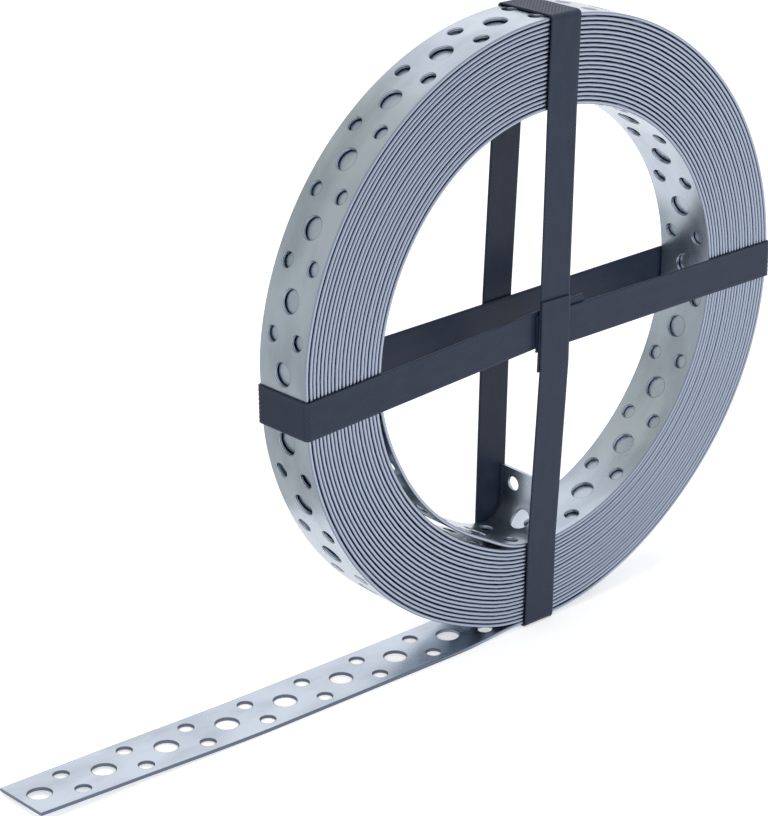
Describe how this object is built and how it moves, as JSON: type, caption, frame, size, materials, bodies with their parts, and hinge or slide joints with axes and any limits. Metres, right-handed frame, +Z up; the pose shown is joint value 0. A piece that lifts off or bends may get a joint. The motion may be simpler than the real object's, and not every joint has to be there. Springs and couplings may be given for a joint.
{
  "type": "coil of perforated steel fixing band",
  "caption": "Coil of galvanised perforated steel fixing band, tied with crossed plastic straps, its free end lying flat.",
  "frame": {"origin": "on the floor under the middle of the coil, on the underside of the upright strap", "axes": "+Y along the coil's axis towards its rear end, -X along the free end of the band, +Z up"},
  "size_m": [0.2682, 0.0252, 0.1818],
  "materials": {
    "galvanised_steel": "hot-dip galvanised, light blue-grey, fairly bright",
    "strapping": "embossed polypropylene strapping, dark slate"
  },
  "bodies": {
    "root": {"perforated_band": "galvanised_steel", "strap_across": "strapping", "strap_upright": "strapping"}
  },
  "joints": []
}
